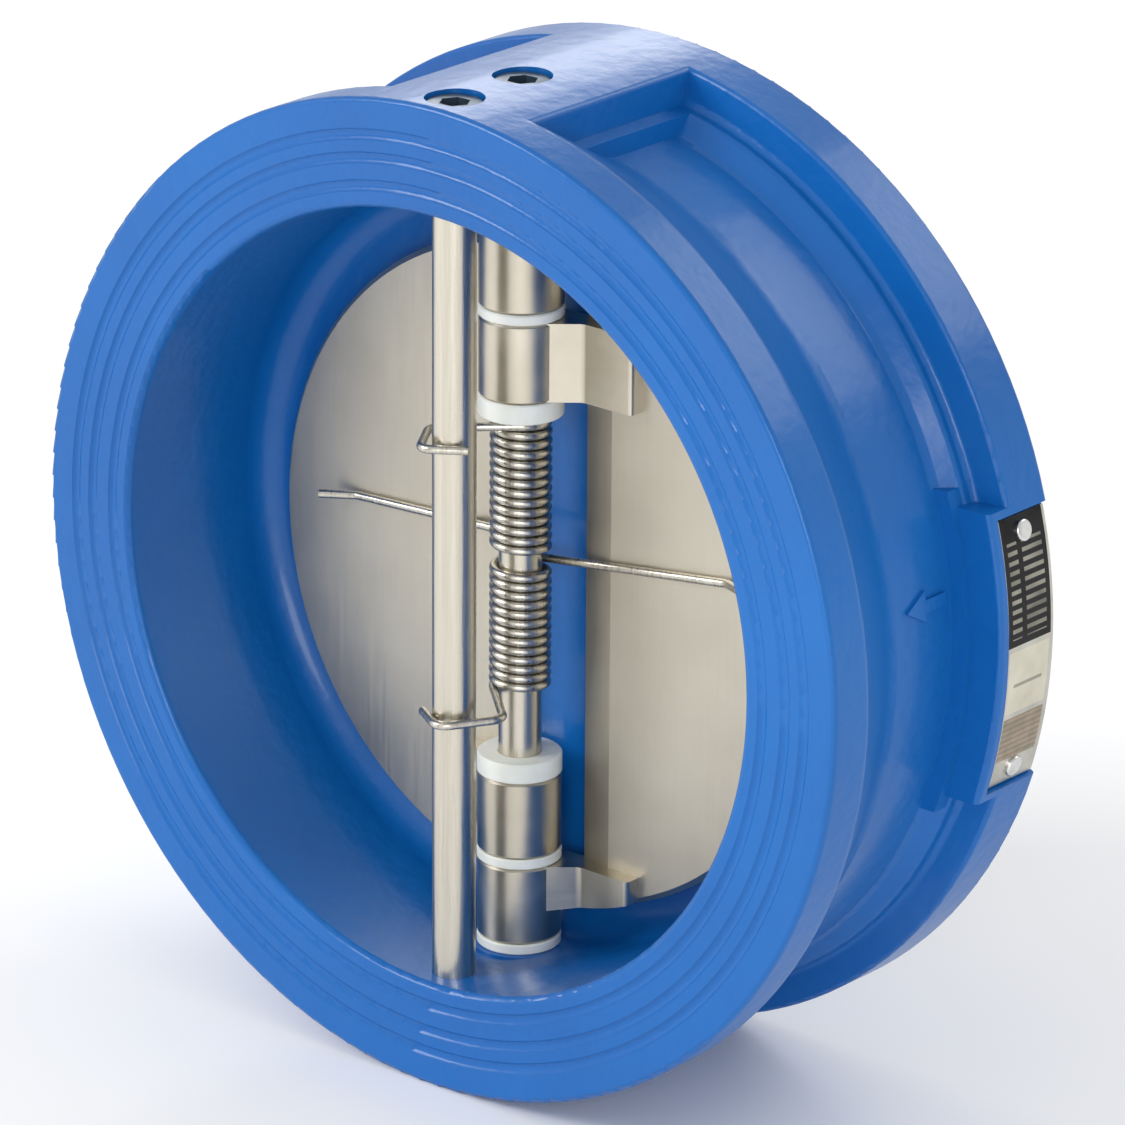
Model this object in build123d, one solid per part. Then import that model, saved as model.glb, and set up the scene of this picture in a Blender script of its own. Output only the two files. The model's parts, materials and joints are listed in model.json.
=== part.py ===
"""Dual-plate wafer check valve, DN150, seen as an assembly of its separate pieces.

Frame: origin on the bore axis, midway between the two flange faces.  +Y runs along the bore
from the outlet to the inlet, +Z runs up along the two pins and +X is to the right of a
viewer who looks into the outlet.  Units are millimetres.
"""
import math
import os

from build123d import *

# ---- Body casting ----
body_r = 111.0
face_to_face = 76.0
chamber_r = 87.1
port_r = 67.5
inlet_mouth_r = 76.0
inlet_taper = 16.0
waist_r = 99.5
shelf_r = 103.5
outlet_land = 11.0
inlet_land = 13.5
ramp_length = 21.0
shelf_width = 4.0
rim_round = 1.2
groove_radii = (92.0, 98.0, 103.0)
groove_width = 2.6
groove_depth = 0.6
bar_half = 16.0
bar_nose_half = 7.0
bar_depth = 27.0
bar_flank = 7.0
bar_root = 1.0
pad_half = 19.5
pad_step = 3.5
pad_round = 1.2

# ---- Flow arrow cast on the waist ----
arrow_angle = 7.0
arrow_length = 13.0
arrow_width = 7.0
arrow_raise = 0.8
arrow_y = 7.0

# ---- Nameplate and its pad ----
plate_low_angle = -16.8
plate_high_angle = 15.0
plate_width = 16.2
plate_thick = 0.8
plate_margin = 0.6
plate_recess = 1.9
pad_margin_angle = 1.2
pad_shelf = 2.0
plate_seat = 0.03
pad_reach = 6.5
step_relief = 0.4
rivet_r = 1.6
rivet_head_r = 2.4
rivet_head = 0.9
rivet_length = 5.0
rivet_inset_angle = 1.9

# ---- Pins, their holes and plugs ----
pin_r = 4.75
pin_fit = 0.05
pin_chamfer = 0.8
stop_y = -28.7
pin_bottom = 97.0
pin_top = 98.0
boss_face = 86.6
boss_r = 10.5
plug_r = 6.5
plug_fit = 0.04
plug_chamfer = 0.6
plug_sink = 1.0
hex_across = 6.0
hex_depth = 5.0
gasket_thick = 1.2

# ---- Hinged plates ----
disc_r = 75.0
disc_centre_z = -3.0
disc_face_y = 0.0
disc_thick = 6.7
disc_edge_x = 11.0
disc_bevel_x = 19.5
disc_bevel_drop = 2.0
disc_rim_chamfer = 1.2
disc_corner_r = 4.0
seat_gap = 0.8

# ---- Lugs welded to the plates ----
lug_r = 9.2
lug_fit = 0.07
lug_height = 17.6
outer_lug_offset = 72.4
inner_lug_offset = 52.3
arm_thick = 3.8
arm_reach = 28.0
web_offset = 7.0
web_angle = 49.5
web_round = 2.5
arm_end_round = 1.0
barrel_chamfer = 0.5
arm_inset = 0.5

# ---- Thrust washers ----
washer_r = 9.3
washer_fit = 0.1
washer_chamfer = 0.3
thin_washer = 2.3
thick_washer = 4.5
axial_gap = 0.1
end_play = 1.2

# ---- Seat seals ----
seal_width = 3.0
seal_depth = 4.0
seal_proud = 0.5
seal_land = 0.8
seal_corner_r = 6.0
seal_edge_round = 0.4
seal_fit = 0.05

# ---- Torsion springs ----
wire_r = 0.95
coil_clear = 0.15
coil_gap = 0.2
coil_turns = 13.38
coil_start_angle = 90.6
bend_r = 3.0
upper_coil = (5.45, 34.65)
lower_coil = (1.4, -26.8)
leg_reach = 52.5
leg_tip_reach = 60.5
leg_tip_lift = 3.6
upper_leg_drop = 2.5
lower_leg_drop = 6.6
hook_wrap_x = 2.6
hook_tip_x = 6.5
hook_tip_inset = 3.0
hook_side_clear = 4.9
hook_side_y = 4.0
hook_wrap_clear = 2.6
hook_side_drop = 0.3
hook_tip_rise = 0.2
wire_lead = 1.2
leg_tip_drop = 0.5
leg_clear = 0.2
hook_clear = 0.1
upper_hook_rise = 0.2
lower_hook_rise = 0.2

outlet_y = -face_to_face / 2
inlet_y = face_to_face / 2
coil_r = pin_r + wire_r + coil_clear
hinge_y = disc_face_y - coil_r - wire_r - coil_gap
ledge_y = disc_face_y + disc_thick + seat_gap
washer_bore_r = pin_r + washer_fit
flow_axis = Axis((0, 0, 0), (0, -1, 0))
seam_angle = 135.0


def facing_outlet(y):
    """Sketch plane square to the bore at y; its normal points to the outlet, its y is +Z."""
    return Plane(origin=(0, y, 0), x_dir=(1, 0, 0), z_dir=(0, -1, 0))


def nearest_corner(face, x, y):
    return face.vertices().sort_by_distance((x, y, 0))[0]


def turned(profile):
    """Revolve a profile of (radius, y) points round the bore axis, its seam clear of the pads."""
    return revolve(profile, Axis.Y, 360).rotate(Axis.Y, seam_angle)


def sector(profile, low_angle, high_angle):
    """Revolve a (radius, y) profile between two angles, measured from +X towards +Z."""
    part = revolve(profile, flow_axis, high_angle - low_angle)
    return part.rotate(flow_axis, low_angle)


def ring_profile(r_in, r_out, y_low, y_high):
    width = r_out - r_in
    height = y_high - y_low
    return Pos(r_in + width / 2, y_low + height / 2) * Rectangle(width, height)


def upright(r, z_low, z_high, y):
    """A cylinder along Z between two heights, on an axis at x = 0 and the given y."""
    height = z_high - z_low
    return Pos(0, y, z_low + height / 2) * Cylinder(r, height)


def flip(part, centre_z):
    """Turn a part half a turn about the line along Y at x = 0 and the given height."""
    return Pos(0, 0, centre_z) * Rot(0, 180, 0) * Pos(0, 0, -centre_z) * part


# ---------------------------------------------------------------- body

def waist_profile():
    """The material of the body ring: flat faces, outer waist and stepped bore."""
    ramp_y = outlet_y + outlet_land
    wall_y = inlet_y - inlet_land
    floor_y = ramp_y + ramp_length
    shelf_y = wall_y - shelf_width
    outline = [
        (chamber_r, outlet_y),
        (body_r, outlet_y),
        (body_r, ramp_y),
        (waist_r, floor_y),
        (waist_r, shelf_y - shelf_width),
        (shelf_r, shelf_y),
        (shelf_r, wall_y - 1.0),
        (body_r, wall_y),
        (body_r, inlet_y),
        (inlet_mouth_r, inlet_y),
        (port_r, inlet_y - inlet_taper),
        (port_r, ledge_y),
        (chamber_r, ledge_y),
    ]
    face = make_face(Polyline(*outline, close=True))
    rounds = [
        (1, rim_round), (2, 3.0), (3, 14.0), (4, 3.0), (5, 1.6), (6, 1.6),
        (7, 1.0), (8, rim_round), (0, 1.5), (12, 7.0), (10, 6.0), (9, 2.0),
    ]
    for index, radius in rounds:
        corner = nearest_corner(face, *outline[index])
        face = fillet(corner, radius)
    return face


def groove(radius, face_y, outward):
    """A shallow round-bottomed groove for the flange gasket, cut in a flange face."""
    cutter_r = (groove_width ** 2 / 4 + groove_depth ** 2) / (2 * groove_depth)
    centre_y = face_y + outward * (cutter_r - groove_depth)
    return turned(Pos(radius, centre_y) * Circle(cutter_r))


def centre_bar():
    """The streamlined bar that splits the port in two and backs the plates' straight edges."""
    nose_y = ledge_y + bar_depth
    flank_y = ledge_y + bar_flank
    outline = Polyline(
        (-bar_half, ledge_y), (bar_half, ledge_y), (bar_half, flank_y), (bar_nose_half, nose_y),
        (-bar_nose_half, nose_y), (-bar_half, flank_y),
        close=True,
    )
    section = make_face(outline)
    for x in (-bar_nose_half, bar_nose_half):
        section = fillet(nearest_corner(section, x, nose_y), bar_nose_half * 0.8)
    reach = inlet_mouth_r + bar_root
    height = 2 * reach
    bar = extrude(Plane.XY.offset(-height / 2) * section, amount=height)
    return bar & turned(ring_profile(0, reach, ledge_y, inlet_y))


def pad(side):
    """A machined pad that bridges the two rims, where the pin holes break out."""
    inner_r = waist_r - 4.0
    length = face_to_face - 10.0
    upper = turned(ring_profile(inner_r, body_r, -length / 2, length / 2))
    lower = turned(ring_profile(inner_r, shelf_r, -length / 2, length / 2))
    top = upper & (Pos(0, 0, side * body_r) * Box(2 * pad_half, length, 2 * (body_r - inner_r)))
    step_half = pad_half + pad_step
    foot = lower & (Pos(0, 0, side * body_r) * Box(2 * step_half, length, 2 * (body_r - inner_r)))
    edges = top.edges().filter_by(Axis.Y).sort_by(lambda e: abs(e.center().Z))[-2:]
    return fillet(edges, pad_round) + foot


def side_block(z_low, z_high):
    """A box at the right side of the ring, between two heights, for cutting pads from rings."""
    return Pos(body_r, 0, (z_low + z_high) / 2) * Box(2 * pad_half, face_to_face, z_high - z_low)


def nameplate_pad():
    """The inlet land grown forwards at the right side, to carry the nameplate."""
    front = inlet_y - inlet_land - pad_reach
    back = inlet_y - 3.0
    inner_r = waist_r - 4.0
    z_low = body_r * math.sin(math.radians(plate_low_angle - pad_margin_angle))
    z_high = body_r * math.sin(math.radians(plate_high_angle + pad_margin_angle))
    block = turned(ring_profile(inner_r, body_r, front, back)) & side_block(z_low, z_high)
    rim = [
        e for e in block.edges().filter_by(GeomType.CIRCLE)
        if abs(e.radius - body_r) < 0.01 and abs(e.center().Y - front) < 0.01
    ]
    block = fillet(rim, pad_round)
    step = turned(ring_profile(inner_r, shelf_r - step_relief, front - pad_shelf, back))
    return block + (step & side_block(z_low - pad_step, z_high + pad_step))


def plate_y_range():
    high = inlet_y - plate_margin
    return high - plate_width, high


def nameplate_pocket():
    """The shallow pocket that the nameplate lies in, open at the inlet face."""
    y_low, _ = plate_y_range()
    margin_angle = math.degrees(plate_margin / body_r)
    profile = ring_profile(body_r - plate_recess, body_r + 5.0, y_low - plate_margin, inlet_y + 1.0)
    return sector(profile, plate_low_angle - margin_angle, plate_high_angle + margin_angle)


def flow_arrow():
    """A raised arrow on the waist, pointing the way of flow, from inlet to outlet."""
    half = arrow_length / 2
    stem = arrow_width / 5
    neck = -half + arrow_width * 0.9
    outline = Polyline(
        (0, -half), (arrow_width / 2, neck), (stem, neck), (stem, half),
        (-stem, half), (-stem, neck), (-arrow_width / 2, neck),
        close=True,
    )
    plane = Plane(origin=(0, 0, 0), x_dir=(0, 0, 1), z_dir=(1, 0, 0))
    sketch = Rot(0, 0, 180) * make_face(outline)
    prism = extrude(plane * sketch, amount=body_r)
    shell = turned(ring_profile(waist_r - 1.0, waist_r + arrow_raise, -half - 1, half + 1))
    arrow = prism & shell
    return (Pos(0, arrow_y, 0) * arrow).rotate(flow_axis, arrow_angle)


def pin_holes(y):
    """The through hole from the top pad, its tapped mouth and the blind hole below."""
    bore = upright(pin_r + pin_fit, -pin_bottom - 1.0, pin_top + 1.0, y)
    mouth = upright(plug_r, pin_top, body_r + 5.0, y)
    return bore + mouth


def rivet_spots():
    y_low, y_high = plate_y_range()
    mid_y = (y_low + y_high) / 2
    low = plate_low_angle + rivet_inset_angle
    high = plate_high_angle - rivet_inset_angle
    return [(low, mid_y), (high, mid_y)]


def radial_stud(r, r_low, r_high, spot):
    """A cylinder that points out from the bore axis at an angle and a y."""
    angle, y = spot
    height = r_high - r_low
    stud = Pos(r_low + height / 2, y, 0) * Rot(0, 90, 0) * Cylinder(r, height)
    return stud.rotate(flow_axis, angle)


def make_body():
    body = turned(waist_profile()) + centre_bar()
    for side in (1, -1):
        body += pad(side)
        boss = upright(boss_r, boss_face, boss_face + 4.0, hinge_y)
        body += boss if side > 0 else mirror(boss, Plane.XY)
    body += nameplate_pad()
    body += flow_arrow()
    body -= nameplate_pocket()
    for y in (hinge_y, stop_y):
        body -= pin_holes(y)
    for radius in groove_radii:
        body -= groove(radius, outlet_y, -1)
        body -= groove(radius, inlet_y, 1)
    for spot in rivet_spots():
        floor_r = body_r - plate_recess
        body -= radial_stud(rivet_r + 0.02, floor_r - rivet_length - 0.5, floor_r + 1.0, spot)
    for side in (1, -1):
        body -= seal_groove(side)
    return body


# ---------------------------------------------------------------- seat seals

def d_outline(arc_r, straight_x, corner_r):
    """Half a disc with rounded corners, on the +X side, as a face in X and Z."""
    face = Circle(arc_r) & (Pos(straight_x + arc_r, 0) * Rectangle(2 * arc_r, 3 * arc_r))
    tip = math.sqrt(arc_r ** 2 - straight_x ** 2)
    for z in (tip, -tip):
        face = fillet(nearest_corner(face, straight_x, z), corner_r)
    return face


def seal_ring(width_growth, y_low, y_high):
    inner_r = port_r + seal_land
    straight_inner = bar_half - seal_land
    outer = d_outline(
        inner_r + seal_width + width_growth, straight_inner - seal_width - width_growth,
        seal_corner_r + seal_width,
    )
    inner = d_outline(inner_r - width_growth, straight_inner + width_growth, seal_corner_r)
    ring = outer - inner
    return extrude(facing_outlet(y_high) * ring, amount=y_high - y_low)


def seal_groove(side):
    cut = seal_ring(seal_fit, ledge_y - 1.0, ledge_y + seal_depth)
    return cut if side > 0 else mirror(cut, Plane.YZ)


def make_seal(side):
    top_y = ledge_y - seal_proud
    ring = seal_ring(0.0, top_y, ledge_y + seal_depth)
    outer_edges = ring.edges().filter_by(lambda e: abs(e.center().Y - top_y) < 0.01)
    ring = fillet(outer_edges, seal_edge_round)
    return ring if side > 0 else mirror(ring, Plane.YZ)


# ---------------------------------------------------------------- hinged plates

def right_disc():
    """The right-hand plate: half a disc with a bevelled straight edge."""
    arc = Pos(0, disc_centre_z) * Circle(disc_r)
    half = arc & (Pos(disc_edge_x + disc_r, disc_centre_z) * Rectangle(2 * disc_r, 3 * disc_r))
    tip = math.sqrt(disc_r ** 2 - disc_edge_x ** 2)
    for z in (disc_centre_z + tip, disc_centre_z - tip):
        half = fillet(nearest_corner(half, disc_edge_x, z), disc_corner_r)
    back_y = disc_face_y + disc_thick
    disc = extrude(facing_outlet(back_y) * half, amount=disc_thick)
    rim = [
        e for e in disc.edges()
        if e.geom_type == GeomType.CIRCLE and abs(e.radius - disc_r) < 0.01
        and abs(e.center().Y - disc_face_y) < 0.01
    ]
    disc = chamfer(rim, disc_rim_chamfer)
    wedge = Polyline(
        (disc_edge_x - 1.0, disc_face_y - 1.0),
        (disc_bevel_x, disc_face_y - 1.0),
        (disc_bevel_x, disc_face_y),
        (disc_edge_x, disc_face_y + disc_bevel_drop),
        (disc_edge_x - 1.0, disc_face_y + disc_bevel_drop),
        close=True,
    )
    height = 2 * disc_r + 2.0
    cut = extrude(Plane.XY.offset(disc_centre_z - height / 2) * make_face(wedge), amount=height)
    return disc - cut


def right_lug(offset):
    """A lug of the right-hand plate: barrel round the hinge pin, web and arm on the plate."""
    centre_z = disc_centre_z + offset
    z_low = centre_z - lug_height / 2
    z_high = centre_z + lug_height / 2
    arm_y = disc_face_y - arm_thick
    nx = math.cos(math.radians(web_angle))
    ny = math.sin(math.radians(web_angle))
    web_x = (web_offset + ny * (arm_y - hinge_y)) / nx
    tangent = (nx * web_offset, hinge_y - ny * web_offset)
    back_x = lug_r / 3
    back_y = hinge_y + math.sqrt(lug_r ** 2 - back_x ** 2)
    outline = Polyline(
        (0, hinge_y), tangent, (web_x, arm_y), (arm_reach, arm_y), (arm_reach, disc_face_y),
        (disc_bevel_x, disc_face_y), (disc_edge_x, disc_face_y + disc_bevel_drop),
        (back_x, back_y),
        close=True,
    )
    section = make_face(outline)
    section = fillet(nearest_corner(section, web_x, arm_y), web_round)
    section = fillet(nearest_corner(section, arm_reach, arm_y), arm_end_round)
    arm = extrude(Plane.XY.offset(z_low) * section, amount=lug_height)
    trim = turned(ring_profile(0, disc_r - arm_inset, hinge_y - 20.0, disc_face_y + disc_thick))
    arm = arm & (Pos(0, 0, disc_centre_z) * trim)
    barrel = upright(lug_r, z_low, z_high, hinge_y)
    ends = barrel.edges().filter_by(GeomType.CIRCLE)
    barrel = chamfer(ends, barrel_chamfer)
    bore = upright(pin_r + lug_fit, z_low - 1.0, z_high + 1.0, hinge_y)
    return barrel + arm - bore


# ---------------------------------------------------------------- washers

def washer(z_low, thick):
    ring = upright(washer_r, z_low, z_low + thick, hinge_y)
    ring = chamfer(ring.edges().filter_by(GeomType.CIRCLE), washer_chamfer)
    return ring - upright(washer_bore_r, z_low - 1.0, z_low + thick + 1.0, hinge_y)


def washer_stack():
    """Every washer on the hinge pin, by name, from the lugs' faces outwards and inwards."""
    inner_face = inner_lug_offset - lug_height / 2
    inner_back = inner_lug_offset + lug_height / 2
    outer_face = outer_lug_offset + lug_height / 2
    top = disc_centre_z + outer_face + axial_gap
    bottom = disc_centre_z - outer_face - axial_gap
    return {
        "top_bush": washer(top, boss_face - end_play - top),
        "upper_lug_washer": washer(disc_centre_z + inner_back + axial_gap, thin_washer),
        "upper_spring_washer": washer(
            disc_centre_z + inner_face - axial_gap - thick_washer, thick_washer),
        "lower_spring_washer": washer(disc_centre_z - inner_face + axial_gap, thick_washer),
        "lower_lug_washer": washer(
            disc_centre_z - inner_back - axial_gap - thin_washer, thin_washer),
        "bottom_washer": washer(-boss_face, bottom + boss_face),
    }


# ---------------------------------------------------------------- springs

def spring(z_low, z_high, leg_drop, hook_rise):
    """A left-hand torsion spring: plate leg at its lower end, stop-pin hook at its upper end."""
    height = z_high - z_low
    coil = Helix(pitch=height / coil_turns, height=height, radius=coil_r, lefthand=True)
    coil = Pos(0, hinge_y, z_low) * Rot(0, 0, coil_start_angle) * coil
    face_y = disc_face_y - wire_r - leg_clear
    leg_z = z_low - leg_drop
    leg = FilletPolyline(
        Vector(-leg_tip_reach, face_y - leg_tip_lift, leg_z - leg_tip_drop),
        Vector(-leg_reach, face_y, leg_z),
        coil @ 0 - wire_lead * (coil % 0),
        coil @ 0,
        radius=bend_r,
    )
    reach = pin_r + wire_r + hook_clear
    hook_z = z_high + hook_rise
    hook = FilletPolyline(
        coil @ 1,
        coil @ 1 + wire_lead * (coil % 1),
        Vector(-reach - hook_side_clear, stop_y + hook_side_y, hook_z - hook_side_drop),
        Vector(-hook_wrap_x, stop_y - reach - hook_wrap_clear, hook_z),
        Vector(hook_tip_x, stop_y - reach + hook_tip_inset, hook_z + hook_tip_rise),
        radius=bend_r,
    )
    path = Wire(leg.edges() + coil.edges() + hook.edges())
    start = Plane(origin=path @ 0, z_dir=path % 0)
    return sweep(start * Circle(wire_r), path=path, is_frenet=True)


def make_springs():
    upper = spring(upper_coil[0], upper_coil[1], upper_leg_drop, upper_hook_rise)
    lower = spring(-lower_coil[0], -lower_coil[1], lower_leg_drop, lower_hook_rise)
    return {"upper_spring": upper, "lower_spring": flip(lower, 0)}


# ---------------------------------------------------------------- pins, plugs and gaskets

def pin(y):
    rod = upright(pin_r, -pin_bottom, pin_top - gasket_thick, y)
    return chamfer(rod.edges().filter_by(GeomType.CIRCLE), pin_chamfer)


def gasket(y):
    ring = upright(plug_r - plug_fit, pin_top, pin_top + gasket_thick, y)
    return ring - upright(pin_r / 2, pin_top - 1.0, pin_top + gasket_thick + 1.0, y)


def plug(y):
    low = pin_top + gasket_thick
    high = body_r - plug_sink
    screw = upright(plug_r - plug_fit, low, high, y)
    screw = chamfer(screw.edges().filter_by(GeomType.CIRCLE), plug_chamfer)
    socket = RegularPolygon(hex_across / 2, 6, major_radius=False)
    cut = extrude(Pos(0, y, high - hex_depth) * socket, amount=hex_depth + 1.0)
    return screw - cut


# ---------------------------------------------------------------- nameplate

def make_nameplate():
    y_low, y_high = plate_y_range()
    floor_r = body_r - plate_recess
    seat_r = floor_r + plate_seat
    profile = ring_profile(seat_r, seat_r + plate_thick, y_low, y_high)
    plate = sector(profile, plate_low_angle, plate_high_angle)
    for spot in rivet_spots():
        plate -= radial_stud(rivet_r + 0.05, floor_r - 1.0, floor_r + plate_thick + 1.0, spot)
    return plate


def make_rivets():
    rivets = []
    seat_r = body_r - plate_recess + plate_seat + plate_thick
    for spot in rivet_spots():
        shank = radial_stud(rivet_r, body_r - plate_recess - rivet_length, seat_r, spot)
        head = radial_stud(rivet_head_r, seat_r + 0.02, seat_r + rivet_head, spot)
        neck = radial_stud(rivet_r, seat_r - 0.5, seat_r + 0.3, spot)
        outer = head.edges().filter_by(GeomType.CIRCLE).sort_by(lambda e: e.center().length)
        head = fillet(outer[-1:], rivet_head * 0.6)
        rivets.append(shank + neck + head)
    return Compound(children=rivets)


# ---------------------------------------------------------------- assembly

def build():
    right_outer = right_lug(-outer_lug_offset)
    right_inner = right_lug(inner_lug_offset)
    disc = right_disc()
    parts = {
        "body": make_body(),
        "right_seat_seal": make_seal(1),
        "left_seat_seal": make_seal(-1),
        "right_plate": disc,
        "left_plate": flip(disc, disc_centre_z),
        "right_plate_outer_lug": right_outer,
        "right_plate_inner_lug": right_inner,
        "left_plate_outer_lug": flip(right_outer, disc_centre_z),
        "left_plate_inner_lug": flip(right_inner, disc_centre_z),
        "hinge_pin": pin(hinge_y),
        "stop_pin": pin(stop_y),
        "hinge_pin_gasket": gasket(hinge_y),
        "stop_pin_gasket": gasket(stop_y),
        "hinge_pin_plug": plug(hinge_y),
        "stop_pin_plug": plug(stop_y),
        "nameplate": make_nameplate(),
        "nameplate_rivets": make_rivets(),
    }
    parts.update(washer_stack())
    parts.update(make_springs())
    return parts


def open_angle():
    """How far a plate turns before its lug arms rest on the stop pin, in degrees."""
    distance = hinge_y - stop_y
    arm_offset = disc_face_y - arm_thick - hinge_y
    return math.degrees(math.acos((pin_r - arm_offset) / distance))


def main():
    os.makedirs("parts", exist_ok=True)
    print("plates touch the stop pin at", round(open_angle(), 2), "degrees")
    for name, part in build().items():
        export_step(part, f"parts/{name}.step")
        print(name, len(part.solids()), round(part.volume, 1), part.is_valid)


main()
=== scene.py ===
"""Looks for the wafer check valve: materials, copies of the springs, studio and camera."""

import json
import math

import bpy
from mathutils import Matrix, Vector


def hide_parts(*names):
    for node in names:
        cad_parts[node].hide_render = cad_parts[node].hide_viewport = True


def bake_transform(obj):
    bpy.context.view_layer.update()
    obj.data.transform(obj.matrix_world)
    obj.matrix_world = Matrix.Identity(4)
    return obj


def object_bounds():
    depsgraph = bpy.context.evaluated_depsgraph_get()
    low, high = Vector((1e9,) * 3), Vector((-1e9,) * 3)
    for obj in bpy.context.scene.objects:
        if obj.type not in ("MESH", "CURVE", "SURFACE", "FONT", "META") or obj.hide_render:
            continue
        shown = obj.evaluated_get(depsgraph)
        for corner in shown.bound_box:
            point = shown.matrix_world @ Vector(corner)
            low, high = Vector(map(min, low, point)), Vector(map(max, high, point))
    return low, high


# The camera looks at the middle of the valve. Angles are in radians, the distance
# and clip range in metres, the lens and sensor in millimetres.
CAMERA_AZIMUTH = 0.7058
CAMERA_ELEVATION = 0.35387
CAMERA_DISTANCE = 1.585
CAMERA_ROLL = 0.00541
CAMERA_LENS = 234.4
CAMERA_SENSOR = 36.0
CAMERA_SHIFT = (0.0186, -0.0014)
CAMERA_CLIP = (0.05, 50.0)

# Area lights aimed at the middle of the valve: name, place and size in metres,
# power in watts.
LIGHTS = (
    ("left", (-1.2, -1.5, 1.1), (0.8, 0.8), 24.0),
    ("right", (1.25, -1.6, 0.5), (0.8, 0.8), 13.0),
    ("back", (0.8, 2.0, 1.6), (1.8, 1.0), 15.0),
    ("horizon", (-1.4, 1.7, 0.85), (0.7, 0.5), 4.5),
)
WORLD_COLOUR = (1.0, 1.0, 1.0, 1.0)
WORLD_STRENGTH = 0.7

FLOOR_SIZE = 12.0
FLOOR_COLOUR = (0.93, 0.93, 0.93)
FLOOR_LIFT = 1.02

# Each spring, the plate that winds it up, and the heights in metres of its hook,
# which stays on the stop pin, and of its leg, which moves with the plate.
SPRINGS = (
    ("upper_spring", "left_plate", 0.0345, 0.0055),
    ("lower_spring", "right_plate", -0.0266, 0.0013),
)

# Where a noise starts and ends its turn from one shade or value to the other.
NOISE_LOW = 0.3
NOISE_HIGH = 0.7
FINE_BUMP = 0.0003

# The nameplate's two edges along the bore, in metres.
PLATE_FRONT = 0.0212
PLATE_BACK = 0.0374

# Its markings: limits round the rim in degrees, and across as shares of its width.
FIELD_ROUND = (0.4, 15.0)
FIELD_ACROSS = (0.05, 0.95)
BARS_ROUND = (1.2, 12.2)
BAR_HALF_PITCH = 0.55
BAR_HALF_HEIGHT = 0.24
LABEL_ACROSS = (0.14, 0.34)
VALUE_ACROSS = (0.44, 0.86)
PANEL_ACROSS = (0.08, 0.92)
BLANK_ROUND = (-7.6, -0.2)
RULE_ROUND = (-4.5, -4.1)
RULE_ACROSS = (0.2, 0.8)
RULE_DEPTH = 0.5
FOOT_ROUND = (-13.6, -8.2)
FOOT_DEPTH = 0.75
HATCH_RATE = 9.0
HATCH_LEVEL = 0.3
HATCH_DEPTH = 0.25


def bounds_list():
    low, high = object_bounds()
    return [list(low), list(high)]


# ---------------------------------------------------------------- node helpers

class Nodes:
    """A material's node tree, with short calls for the nodes used here."""

    def __init__(self, name):
        self.material = bpy.data.materials.new(name)
        self.material.use_nodes = True
        self.tree = self.material.node_tree
        self.bsdf = self.tree.nodes["Principled BSDF"]
        self.place = self.tree.nodes.new("ShaderNodeTexCoord").outputs["Object"]

    def put(self, socket, value):
        if isinstance(value, bpy.types.NodeSocket):
            self.tree.links.new(value, socket)
        else:
            socket.default_value = value

    def math(self, operation, a, b=0.0):
        node = self.tree.nodes.new("ShaderNodeMath")
        node.operation = operation
        self.put(node.inputs[0], a)
        self.put(node.inputs[1], b)
        return node.outputs[0]

    def times(self, a, b):
        return self.math("MULTIPLY", a, b)

    def plus(self, a, b):
        return self.math("ADD", a, b)

    def inside(self, value, low, high):
        """One where a value lies between two limits, zero elsewhere."""
        above = self.math("GREATER_THAN", value, low)
        below = self.math("LESS_THAN", value, high)
        return self.times(above, below)

    def split(self, vector):
        node = self.tree.nodes.new("ShaderNodeSeparateXYZ")
        self.put(node.inputs[0], vector)
        return node.outputs

    def stretch(self, scale):
        node = self.tree.nodes.new("ShaderNodeMapping")
        node.inputs["Scale"].default_value = scale
        self.put(node.inputs["Vector"], self.place)
        return node.outputs[0]

    def noise(self, scale, detail=3.0, vector=None):
        node = self.tree.nodes.new("ShaderNodeTexNoise")
        node.inputs["Scale"].default_value = scale
        node.inputs["Detail"].default_value = detail
        self.put(node.inputs["Vector"], self.place if vector is None else vector)
        return node.outputs["Fac"]

    def shades(self, noise, dark, pale, start=NOISE_LOW, end=NOISE_HIGH):
        """A colour that goes from dark to pale as a noise rises."""
        node = self.tree.nodes.new("ShaderNodeValToRGB")
        stops = ((start, dark), (end, pale))
        for element, (position, colour) in zip(node.color_ramp.elements, stops):
            element.position = position
            element.color = (*colour, 1.0)
        self.put(node.inputs["Fac"], noise)
        return node.outputs["Color"]

    def span(self, noise, low, high):
        """A value that goes from low to high as a noise rises."""
        node = self.tree.nodes.new("ShaderNodeMapRange")
        self.put(node.inputs["Value"], noise)
        node.inputs["From Min"].default_value = NOISE_LOW
        node.inputs["From Max"].default_value = NOISE_HIGH
        node.inputs["To Min"].default_value = low
        node.inputs["To Max"].default_value = high
        return node.outputs["Result"]

    def mix(self, factor, a, b):
        node = self.tree.nodes.new("ShaderNodeMix")
        node.data_type = "RGBA"
        self.put(node.inputs["Factor"], factor)
        self.put(node.inputs["A"], a)
        self.put(node.inputs["B"], b)
        return node.outputs["Result"]

    def bump(self, height, strength, distance=FINE_BUMP):
        node = self.tree.nodes.new("ShaderNodeBump")
        node.inputs["Strength"].default_value = strength
        node.inputs["Distance"].default_value = distance
        self.put(node.inputs["Height"], height)
        return node.outputs["Normal"]

    def surface(self, colour, roughness, normal=None, **uniform):
        self.put(self.bsdf.inputs["Base Color"], colour)
        self.put(self.bsdf.inputs["Roughness"], roughness)
        if normal is not None:
            self.put(self.bsdf.inputs["Normal"], normal)
        for name, value in uniform.items():
            self.bsdf.inputs[name.replace("_", " ")].default_value = value
        return self.material


# ---------------------------------------------------------------- materials

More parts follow.
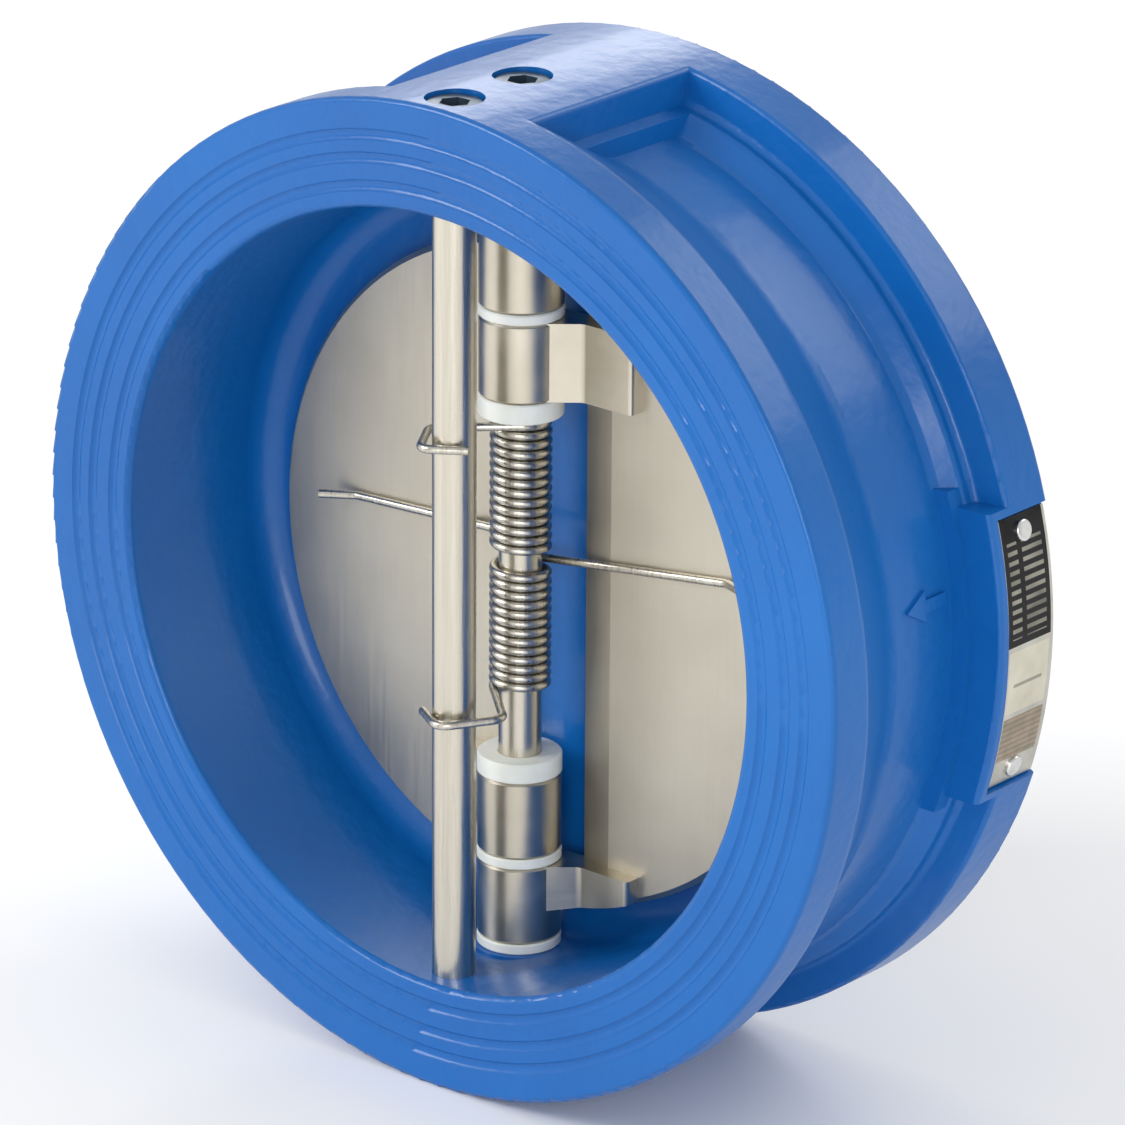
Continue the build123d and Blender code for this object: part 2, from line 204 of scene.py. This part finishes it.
def blue_epoxy():
    n = Nodes("blue_epoxy")
    cast_weight, peel_weight = 0.8, 0.35
    cloud = n.noise(scale=14.0, detail=4.0)
    peel = n.noise(scale=260.0, detail=2.0)
    cast = n.noise(scale=38.0)
    height = n.plus(n.times(cast, cast_weight), n.times(peel, peel_weight))
    return n.surface(
        n.shades(cloud, dark=(0.002, 0.098, 0.360), pale=(0.003, 0.126, 0.435)),
        roughness=n.span(cloud, low=0.30, high=0.42),
        normal=n.bump(height, strength=0.55, distance=0.0012),
        Specular_IOR_Level=0.3, Coat_Weight=0.22, Coat_Roughness=0.12,
    )


def plate_steel():
    n = Nodes("plate_steel")
    grain_weight = 0.25
    cloud = n.noise(scale=22.0, detail=5.0)
    grain = n.noise(scale=40.0, vector=n.stretch((22.0, 1.0, 1.0)))
    mean = n.times(n.plus(grain, cloud), 0.5)
    height = n.plus(n.times(grain, grain_weight), cloud)
    return n.surface(
        n.shades(
            cloud, dark=(0.50, 0.46, 0.38), pale=(0.66, 0.62, 0.53), start=0.25, end=0.75
        ),
        roughness=n.span(mean, low=0.40, high=0.56),
        normal=n.bump(height, strength=0.14, distance=0.0006),
        Metallic=1.0,
    )


def lug_steel():
    n = Nodes("lug_steel")
    turned_weight, cloud_weight = 0.2, 0.7
    turned = n.noise(scale=70.0, detail=2.0, vector=n.stretch((0.6, 0.6, 24.0)))
    cloud = n.noise(scale=60.0)
    height = n.plus(n.times(turned, turned_weight), n.times(cloud, cloud_weight))
    return n.surface(
        n.shades(cloud, dark=(0.52, 0.48, 0.39), pale=(0.66, 0.61, 0.51)),
        roughness=n.span(cloud, low=0.28, high=0.40),
        normal=n.bump(height, strength=0.20, distance=0.0005),
        Metallic=1.0,
    )


def rod_steel(name, dark, pale):
    """Drawn steel, with marks along Z."""
    n = Nodes(name)
    drawn = n.noise(scale=90.0, detail=2.0, vector=n.stretch((18.0, 18.0, 0.6)))
    return n.surface(
        n.shades(drawn, dark, pale),
        roughness=n.span(drawn, low=0.26, high=0.34),
        normal=n.bump(drawn, strength=0.08),
        Metallic=1.0,
    )


def clouded(name, scale, dark, pale, roughness, bump, detail=3.0, **uniform):
    """A material whose colour, roughness and bump all follow one noise."""
    n = Nodes(name)
    cloud = n.noise(scale=scale, detail=detail)
    return n.surface(
        n.shades(cloud, dark, pale),
        roughness=n.span(cloud, *roughness),
        normal=n.bump(cloud, strength=bump),
        **uniform,
    )


def nameplate_metal():
    """An etched plate: black field with pale bars, blank panel and a shaded foot."""
    n = Nodes("nameplate_metal")
    x, y, z = n.split(n.place)
    angle = n.times(n.math("ARCTAN2", z, x), math.degrees(1.0))
    from_front = n.math("SUBTRACT", y, PLATE_FRONT)
    across = n.math("DIVIDE", from_front, PLATE_BACK - PLATE_FRONT)

    def patch(round_limits, across_limits):
        return n.times(n.inside(angle, *round_limits), n.inside(across, *across_limits))

    cloud = n.noise(scale=150.0)
    metal = n.shades(cloud, dark=(0.46, 0.45, 0.40), pale=(0.62, 0.60, 0.54))
    panel = n.shades(cloud, dark=(0.60, 0.57, 0.46), pale=(0.72, 0.69, 0.58))
    black = n.shades(cloud, dark=(0.008, 0.008, 0.009), pale=(0.022, 0.022, 0.024))
    colour = n.mix(patch(FIELD_ROUND, FIELD_ACROSS), metal, black)

    row = n.math("PINGPONG", angle, BAR_HALF_PITCH)
    columns = n.plus(n.inside(across, *LABEL_ACROSS), n.inside(across, *VALUE_ACROSS))
    bars = n.times(n.inside(row, 0.0, BAR_HALF_HEIGHT), columns)
    bars = n.times(bars, n.inside(angle, *BARS_ROUND))
    wear = n.span(n.noise(scale=90.0, detail=2.0), low=0.15, high=0.65)
    colour = n.mix(n.times(bars, wear), colour, panel)

    colour = n.mix(patch(BLANK_ROUND, PANEL_ACROSS), colour, panel)
    rule = patch(RULE_ROUND, RULE_ACROSS)
    colour = n.mix(n.times(rule, RULE_DEPTH), colour, black)

    foot = patch(FOOT_ROUND, PANEL_ACROSS)
    tarnish = n.shades(
        n.noise(scale=260.0), dark=(0.20, 0.17, 0.09), pale=(0.42, 0.28, 0.20)
    )
    colour = n.mix(n.times(foot, FOOT_DEPTH), colour, tarnish)
    wave = n.math("SINE", n.times(angle, HATCH_RATE))
    hatch = n.times(foot, n.math("GREATER_THAN", wave, HATCH_LEVEL))
    colour = n.mix(n.times(hatch, HATCH_DEPTH), colour, black)
    return n.surface(
        colour,
        roughness=n.span(cloud, low=0.26, high=0.42),
        normal=n.bump(cloud, strength=0.12, distance=0.0002),
        Metallic=0.75,
    )


def make_materials():
    return {
        "blue_epoxy": blue_epoxy(),
        "seat_rubber": clouded(
            "seat_rubber", scale=180.0,
            dark=(0.014, 0.014, 0.015), pale=(0.030, 0.030, 0.032),
            roughness=(0.45, 0.65), bump=0.2,
        ),
        "plate_steel": plate_steel(),
        "lug_steel": lug_steel(),
        "pin_steel": rod_steel(
            "pin_steel", dark=(0.60, 0.56, 0.47), pale=(0.67, 0.63, 0.54)
        ),
        "spring_steel": rod_steel(
            "spring_steel", dark=(0.48, 0.45, 0.38), pale=(0.66, 0.63, 0.56)
        ),
        "ptfe": clouded(
            "ptfe", scale=120.0,
            dark=(0.80, 0.79, 0.72), pale=(0.90, 0.89, 0.83),
            roughness=(0.35, 0.5), bump=0.15, Subsurface_Weight=0.1,
        ),
        "plug_steel": clouded(
            "plug_steel", scale=150.0, detail=4.0,
            dark=(0.030, 0.055, 0.090), pale=(0.070, 0.110, 0.160),
            roughness=(0.28, 0.48), bump=0.2, Metallic=0.6,
        ),
        "nameplate_metal": nameplate_metal(),
        "rivet_aluminium": clouded(
            "rivet_aluminium", scale=300.0,
            dark=(0.60, 0.60, 0.58), pale=(0.82, 0.82, 0.80),
            roughness=(0.20, 0.36), bump=0.12, Metallic=1.0,
        ),
    }


def dress(frame, materials):
    slots = {s["node"]: s["material_slot"] for s in frame["record"]["subparts"]}
    for name, node in frame["nodes"].items():
        node.data.materials.clear()
        node.data.materials.append(materials[slots[name]])


# ---------------------------------------------------------------- springs

def wind_up(frame, node, material):
    """A copy of a spring in the given material, with its place baked into its mesh; the CAD
    spring is hidden.
    """
    wire = bpy.data.objects.new(node + "_wire", frame["nodes"][node].data.copy())
    bpy.context.scene.collection.objects.link(wire)
    wire.data.materials.clear()
    wire.data.materials.append(material)
    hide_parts(node)
    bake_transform(wire)


def add_springs(frame, material):
    for node, plate_body, hook_z, leg_z in SPRINGS:
        wind_up(frame, node, material)


# ---------------------------------------------------------------- studio

def floor_material():
    n = Nodes("floor")
    cloud = n.noise(scale=3.0, detail=2.0)
    pale = tuple(c * FLOOR_LIFT for c in FLOOR_COLOUR)
    return n.surface(
        n.shades(cloud, FLOOR_COLOUR, pale), roughness=n.span(cloud, low=0.6, high=0.7)
    )


def add_floor(low_z):
    bpy.ops.mesh.primitive_plane_add(size=FLOOR_SIZE, location=(0, 0, low_z))
    floor = bpy.context.object
    floor.name = "floor"
    floor.data.materials.append(floor_material())


def add_world():
    world = bpy.data.worlds.new("studio")
    bpy.context.scene.world = world
    world.use_nodes = True
    background = world.node_tree.nodes["Background"]
    background.inputs["Color"].default_value = WORLD_COLOUR
    background.inputs["Strength"].default_value = WORLD_STRENGTH


def add_light(name, location, size, power):
    data = bpy.data.lights.new(name, "AREA")
    data.shape = "RECTANGLE"
    data.size, data.size_y = size
    data.energy = power
    lamp = bpy.data.objects.new(name, data)
    bpy.context.scene.collection.objects.link(lamp)
    lamp.location = location
    lamp.rotation_mode = "QUATERNION"
    lamp.rotation_quaternion = (-lamp.location).to_track_quat("-Z", "Y")


def add_lights():
    for light in LIGHTS:
        add_light(*light)


def add_camera():
    a, e = CAMERA_AZIMUTH, CAMERA_ELEVATION
    back = Vector((math.sin(a) * math.cos(e), -math.cos(a) * math.cos(e), math.sin(e)))
    right = (-back).cross(Vector((0, 0, 1))).normalized()
    up = right.cross(-back)
    c, s = math.cos(CAMERA_ROLL), math.sin(CAMERA_ROLL)
    tilted = right * c + up * s
    upright = up * c - right * s
    data = bpy.data.cameras.new("camera")
    data.lens = CAMERA_LENS
    data.sensor_width = CAMERA_SENSOR
    data.shift_x, data.shift_y = CAMERA_SHIFT
    data.clip_start, data.clip_end = CAMERA_CLIP
    camera = bpy.data.objects.new("camera", data)
    bpy.context.scene.collection.objects.link(camera)
    place = Matrix((tilted, upright, back)).transposed().to_4x4()
    place.translation = back * CAMERA_DISTANCE
    camera.matrix_world = place
    bpy.context.scene.camera = camera


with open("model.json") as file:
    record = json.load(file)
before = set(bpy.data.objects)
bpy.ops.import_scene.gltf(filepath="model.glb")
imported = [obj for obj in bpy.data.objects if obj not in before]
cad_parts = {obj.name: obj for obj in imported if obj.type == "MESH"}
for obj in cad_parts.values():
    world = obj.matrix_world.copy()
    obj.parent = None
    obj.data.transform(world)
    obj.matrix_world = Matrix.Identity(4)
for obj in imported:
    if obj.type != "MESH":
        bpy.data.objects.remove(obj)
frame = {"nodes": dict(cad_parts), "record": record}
after_load = bounds_list()
bpy.context.scene.view_settings.view_transform = "Standard"
materials = make_materials()
dress(frame, materials)
add_springs(frame, materials["spring_steel"])
add_floor(after_load[0][2])
add_world()
add_lights()
add_camera()
